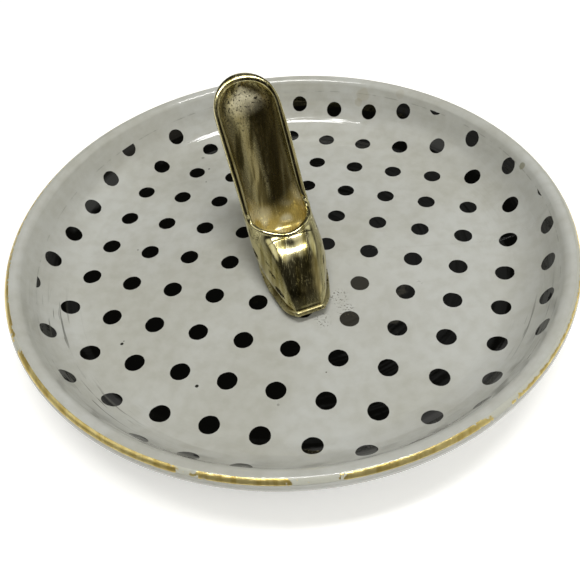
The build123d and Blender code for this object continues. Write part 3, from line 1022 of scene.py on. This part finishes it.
def gold_with_wear_and_painted_light(tree, coords, streaks, patches, gold, pits):
    """The upper's gold with its wear and its painted shade, reflection and highlights, then its pits,
    its share of metal, its dullness and relief.
    """
    worn = add(tree, "Attribute", {"attribute_name": "pits_and_painted_light"}).outputs["Vector"]
    painted_shade_right, pitted, painted_bowl_reflection = add(tree, "SeparateXYZ", None, worn).outputs
    dull = add(tree, "Attribute", {"attribute_name": "dulled_and_painted_light"}).outputs["Vector"]
    dulled, painted_cup_highlight, painted_shade_front = add(tree, "SeparateXYZ", None, dull).outputs
    in_streak = add(tree, "MapRange", STEP, streaks, 0.0, 0.48)
    # painted shade on the viewer's right, kept to the streaks
    painted_shade_right = add(tree, "Math", "MULTIPLY", painted_shade_right, in_streak)
    # browner gold and dark strokes in the trough: partly dull lustre, partly painted dark reflection
    brown_and_painted_reflection = add(tree, "Math", "MULTIPLY", dulled, 0.34)
    strokes_and_painted_reflection = add(tree, "Math", "MULTIPLY", brown_and_painted_reflection, add(tree, "MapRange", STEP, streaks, 0.49, 0.58))
    strokes_and_painted_reflection = add(tree, "Math", "MULTIPLY", strokes_and_painted_reflection, 1.9)
    # beads in the bowl's relief, which also carry painted highlights
    beads_and_painted_highlights = add(tree, "TexNoise", None, coords, swells(2, 5), 0.0)
    beads_and_painted_highlights = add(tree, "Math", "MULTIPLY", painted_bowl_reflection, add(tree, "MapRange", STEP, beads_and_painted_highlights, 0.40, 0.72))
    # painted highlights: pale gold on the beads, but not at the bowl's front
    painted_bead_highlights = add(tree, "Math", "SUBTRACT", beads_and_painted_highlights, painted_shade_front)
    painted_bead_highlights = add(tree, "Math", "MAXIMUM", painted_bead_highlights, 0.0)
    # in turn: painted shade, browner gold and dark strokes partly standing for dark reflection,
    # painted bowl reflection, painted shade at the front, painted cup highlight, painted bead
    # highlights
    for share, tint in (
        (painted_shade_right, "#332C1A"), (brown_and_painted_reflection, "#8A7A44"), (strokes_and_painted_reflection, "#3F3720"), (painted_bowl_reflection, "#C2AC60"),
        (painted_shade_front, "#8A7738"), (painted_cup_highlight, "#E4DCBA"), (painted_bead_highlights, "#E6DDB4"),
    ):
        gold = add(tree, "Mix", MIX, share, gold, colour(tint))
    # the painted cup highlight and bowl reflection are partly no metal, the painted shade at the
    # bowl's front more metal
    ground = 0.0
    for part, share in ((dulled, 0.16), (painted_bowl_reflection, 0.46), (painted_cup_highlight, 0.66), (painted_shade_front, -0.34)):
        ground = add(tree, "Math", "MULTIPLY_ADD", part, share, ground)
    metal = add(tree, "Math", "SUBTRACT", 1.0, ground)
    relief = add(tree, "Math", "MULTIPLY_ADD", beads_and_painted_highlights, 3.0, patches)
    return gold, add(tree, "Math", "MAXIMUM", pits, pitted), metal, dulled, relief


def gold_finish(name, piece, bright, dull, roughness, pit_share, worn=False):
    """Gold lustre: streaks of a duller gold along the shoe, dark worn pits and fine scratches.

    It gives back the tree, the shader, the place, the colour and the relief, for more to be added.
    """
    tree, shader, coords = finish_for(name, piece)
    lengthwise = add(tree, "Mapping", None, coords, Rotation=(0, 0, -math.radians(shoe_turn)),
                     Scale=(1, 0.12, 0.12))
    streaks = add(tree, "TexNoise", None, lengthwise, swells(7, 10), 3.0)
    streak_share = add(tree, "MapRange", STEP, streaks, 0.40, 0.66)
    gold = add(tree, "Mix", MIX, streak_share, colour(bright), colour(dull))
    patches = add(tree, "TexNoise", None, coords, swells(6, 25), 2.0)
    pits = add(tree, "MapRange", STEP, patches, 1 - pit_share, 1.15 - pit_share)
    metal, relief = 1.0, patches
    # on the upper the gold also gets its wear and its painted shade, reflection and highlights
    if worn:
        gold, pits, metal, dulled, relief = gold_with_wear_and_painted_light(tree, coords, streaks, patches, gold, pits)
    grime = add(tree, "TexNoise", None, coords, swells(13, 5), 5.0)
    pits = add(tree, "Math", "MULTIPLY", add(tree, "MapRange", STEP, grime, 0.5, 0.66), pits)
    gold = add(tree, "Mix", MIX, pits, gold, colour("#2A2416"))
    scratches = add(tree, "Mapping", None, coords, Rotation=(0, 0, 0.6), Scale=(1, 0.06, 0.3))
    scratches = add(tree, "TexNoise", None, scratches, swells(21, 5), 2.0)
    roughened = [(pits, 0.35), (add(tree, "MapRange", STEP, scratches, 0.5, 0.7), 0.14)]
    if worn:
        roughened.append((dulled, 0.07))
    rough = roughness
    for share, amount in roughened:
        rough = add(tree, "Math", "MULTIPLY_ADD", share, amount, rough)
    bump = add(tree, "Bump", None, Height=relief, Strength=0.15, Distance=0.3 * MM)
    bump = add(tree, "Bump", None, Height=scratches, Strength=0.10, Distance=0.05 * MM, Normal=bump)
    plug(tree, shader, {"Base Color": gold, "Metallic": metal, "Roughness": rough, "Normal": bump})
    return tree, shader, coords, gold, bump


gold_finish("mirror_gold_upper", upper_piece, "#D8CF9F", "#9B9058", 0.13, 0.42, worn=True)
gold_finish("mirror_gold_heel", heel_piece, "#D8CF9F", "#9B9058", 0.12, 0.42)
gold_finish("satin_gold_welt", sole_piece, "#CFC696", "#9C9060", 0.36, 0.62)
print("gold on", upper_piece.name, heel_piece.name, sole_piece.name)

# %% [markdown]
# The line on the rim is the same lustre, brushed so thin that the glaze shines through. Fingers wear
# it off, first at its edges, and what is left has a flaky face that sparkles.

# %% Worn gold on the rim
tree, shader, coords, gold, bump = gold_finish(
    "gilt_line_worn", gilding_piece, "#F0DC94", "#D6BC6C", 0.28, 0.25
)
line = add(tree, "Attribute", {"attribute_name": "line_place"}).outputs["Vector"]
worn_away, across_line, _ = add(tree, "SeparateXYZ", None, line).outputs
edge_wear = add(tree, "Math", "POWER", add(tree, "Math", "ABSOLUTE", across_line), 3.0)
flakes = add(tree, "TexNoise", None, coords, swells(3, 2), 4.0)
wear = add(tree, "Math", "MULTIPLY_ADD", edge_wear, 0.22, worn_away)
wear = add(tree, "Math", "MULTIPLY_ADD", flakes, 1.5, wear)
gone = add(tree, "MapRange", STEP, wear, 1.38, 1.50)
gilt = add(tree, "Mix", MIX, gone, gold, colour("#BDBDB0"))
metal = add(tree, "Math", "MULTIPLY_ADD", gone, -0.80, 0.80)
bump = add(tree, "Bump", None, Height=flakes, Strength=0.6, Distance=0.12 * MM, Normal=bump)
plug(tree, shader, {"Base Color": gilt, "Metallic": metal, "Normal": bump})
print("gilt line", len(tree.nodes), "nodes")

# %% [markdown]
# The beads of cement under the shoe are a plain matt putty, cream with age. It gives the eye a dry,
# grainy line in the shadow under the gold. The beads keep their solids.

# %% Cement
for name in ("sole_cement", "heel_cement"):
    tree, shader, coords = finish_for(name + "_putty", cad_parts[name])
    grain = add(tree, "TexNoise", None, coords, swells(9, 5), 5.0)
    grain_share = add(tree, "MapRange", STEP, grain, 0.35, 0.7)
    putty = add(tree, "Mix", MIX, grain_share, colour("#8F8A76"), colour("#6B6552"))
    gritty = add(tree, "Bump", None, Height=grain, Strength=0.5, Distance=0.2 * MM)
    plug(tree, shader, {"Base Color": putty, "Roughness": 0.75, "Normal": gritty})
print("cement on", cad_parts["sole_cement"].name, "and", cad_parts["heel_cement"].name)

# %% [markdown]
# The studio is a pale floor and soft boxes round a grey room. White china needs a light that is
# broad, so that its curves read as gentle shade. Mirror gold shows whatever is round it, so the
# room is darker than the boxes, and the gold gets its dark streaks from there. The fill in front
# only lifts the china's back wall and isn't seen in the gold. The floor is lifted to white for the
# rays of camera, gloss and glass alone, so it keeps the dish's shadow and adds no light to it.

# %% Floor
reach = 1.6
corners = [(-reach, -reach, 0), (reach, -reach, 0), (reach, reach, 0), (-reach, reach, 0)]
floor_mesh = bpy.data.meshes.new("studio_floor")
floor_mesh.from_pydata(corners, [], [(0, 1, 2, 3)])
studio_floor = bpy.data.objects.new("studio_floor", floor_mesh)
bpy.context.scene.collection.objects.link(studio_floor)
tree, shader, coords = finish_for("pale_paper", studio_floor)
fibre = add(tree, "TexNoise", None, coords, swells(3, 5), 4.0)
paper = add(tree, "Mix", MIX, fibre, colour("#F1F0EC"), colour("#F7F6F3"))
rays = add(tree, "LightPath").outputs
seen = add(tree, "Math", "ADD", rays["Is Camera Ray"], rays["Is Glossy Ray"])
seen = add(tree, "Math", "ADD", seen, rays["Is Transmission Ray"])
plug(tree, shader, {
    "Base Color": paper,
    "Roughness": 0.85,
    "Emission Color": colour("#FFFFFF"),
    "Emission Strength": add(tree, "Math", "MULTIPLY", seen, 0.4),
})
print("floor", 2 * reach, "m wide")

# %% Room
world = bpy.data.worlds.new("grey_room")
world.use_nodes = True
tree = world.node_tree
direction = add(tree, "TexCoord").outputs["Generated"]
level = colour("#2B2A26")
room_lights = [
    # direction, half angles between which it fades, blend, colour, strength
    ((0.0, -0.06, 1.0), (11, 26), "ADD", "#FFFDF8", 0.80),
    ((0.16, 0.70, 0.74), (2, 13), "ADD", "#F4F6F2", 0.22),
    ((0.0, 1.0, 0.32), (6, 15), "ADD", "#FFFDF8", 0.55),
    ((-0.67, -0.03, 0.74), (9, 22), "ADD", "#F6F6EE", 1.0),
    ((0.70, 0.15, 0.67), (6, 22), "ADD", "#F2F4EC", 0.9),
    ((0.80, -0.45, 0.45), (8, 30), "ADD", "#F8F0DC", 0.34),
    ((0.0, 0.0, -1.0), (98, 120), "ADD", "#E8E8E2", 0.34),
    ((0.10, -1.0, 0.25), (25, 50), "MULTIPLY", "#24221C", 0.75),
]
for toward, fade, blend, tint, strength in room_lights:
    unit = np.array(toward) / np.linalg.norm(toward)
    along_it = add(tree, "VectorMath", "DOT_PRODUCT", direction, tuple(unit))
    dark_from, bright_from = (math.cos(math.radians(fade[1])), math.cos(math.radians(fade[0])))
    soft = add(tree, "MapRange", STEP, along_it, dark_from, bright_from)
    share = add(tree, "Math", "MULTIPLY", soft, strength)
    level = add(tree, "Mix", {**MIX, "blend_type": blend}, share, level, colour(tint))
plug(tree, tree.nodes["Background"], {"Color": level})
bpy.context.scene.world = world
print("room", len(room_lights), "lights")

# %% Soft boxes
lit_middle = (0.0, 0.0, 10.0)


def stand_at(thing, right, up, back, place):
    """Stands a lamp or camera at a place in millimetres, with its own X, Y and Z directions."""
    stand = np.eye(4)
    stand[:3] = np.stack([right, up, back, np.array(place) * MM], axis=1)
    thing.matrix_world = Matrix(stand.tolist())


def soft_box(name, place, size, power):
    """A soft box at a place in millimetres, turned to shine at the dish's middle."""
    lamp = bpy.data.lights.new(name, "AREA")
    lamp.shape = "RECTANGLE"
    lamp.size, lamp.size_y = size[0] * MM, size[1] * MM
    lamp.energy = power
    box = bpy.data.objects.new(name, lamp)
    bpy.context.scene.collection.objects.link(box)
    toward = np.array(lit_middle) - np.array(place, float)
    toward /= np.linalg.norm(toward)
    side = np.cross(toward, (0, 0, 1))
    side /= np.linalg.norm(side)
    stand_at(box, side, np.cross(side, toward), -toward, place)
    return box


soft_box("ceiling_lamp", (5, -40, 600), (370, 80), 1.82)
fill = soft_box("fill_lamp", (190, -300, 430), (260, 180), 0.72)
fill.visible_glossy = False

# %% [markdown]
# The camera stands 135 mm from the middle of the dish, 45 degrees above it, a little turned and
# tilted, with a lens that sees 47 degrees. This was worked out from how the dots draw together.

# %% Camera
photo_pixels = 580
focal_pixels = 667.56
sensor = 36.0
camera_distance = 135.4
clip_start = 5.0
# rise, pan, tilt and roll in degrees
camera_angles = (44.903, -0.2824, -3.1164, -4.9383)


def turn_pair(first, second, angle):
    """Two square directions turned in their plane by an angle."""
    cosine, sine = math.cos(angle), math.sin(angle)
    return first * cosine + second * sine, second * cosine - first * sine


camera_rise, camera_pan, camera_tilt, camera_roll = (math.radians(a) for a in camera_angles)
forward = np.array([0, math.cos(camera_rise), -math.sin(camera_rise)])
side = np.array([1.0, 0, 0])
upward = np.cross(side, forward)
eye = np.array([0, 0, floor_middle]) - camera_distance * forward
forward, side = turn_pair(forward, side, camera_pan)
forward, upward = turn_pair(forward, upward, camera_tilt)
side, upward = turn_pair(side, upward, camera_roll)
camera_data = bpy.data.cameras.new("photo_camera")
camera_data.sensor_fit = "HORIZONTAL"
camera_data.sensor_width = sensor
camera_data.lens = focal_pixels / photo_pixels * sensor
camera_data.clip_start = clip_start * MM
camera = bpy.data.objects.new("photo_camera", camera_data)
bpy.context.scene.collection.objects.link(camera)
stand_at(camera, side, upward, -forward, eye)
bpy.context.scene.camera = camera
bpy.context.scene.view_settings.view_transform = "Standard"
print("lens", round(camera_data.lens, 2), "mm")
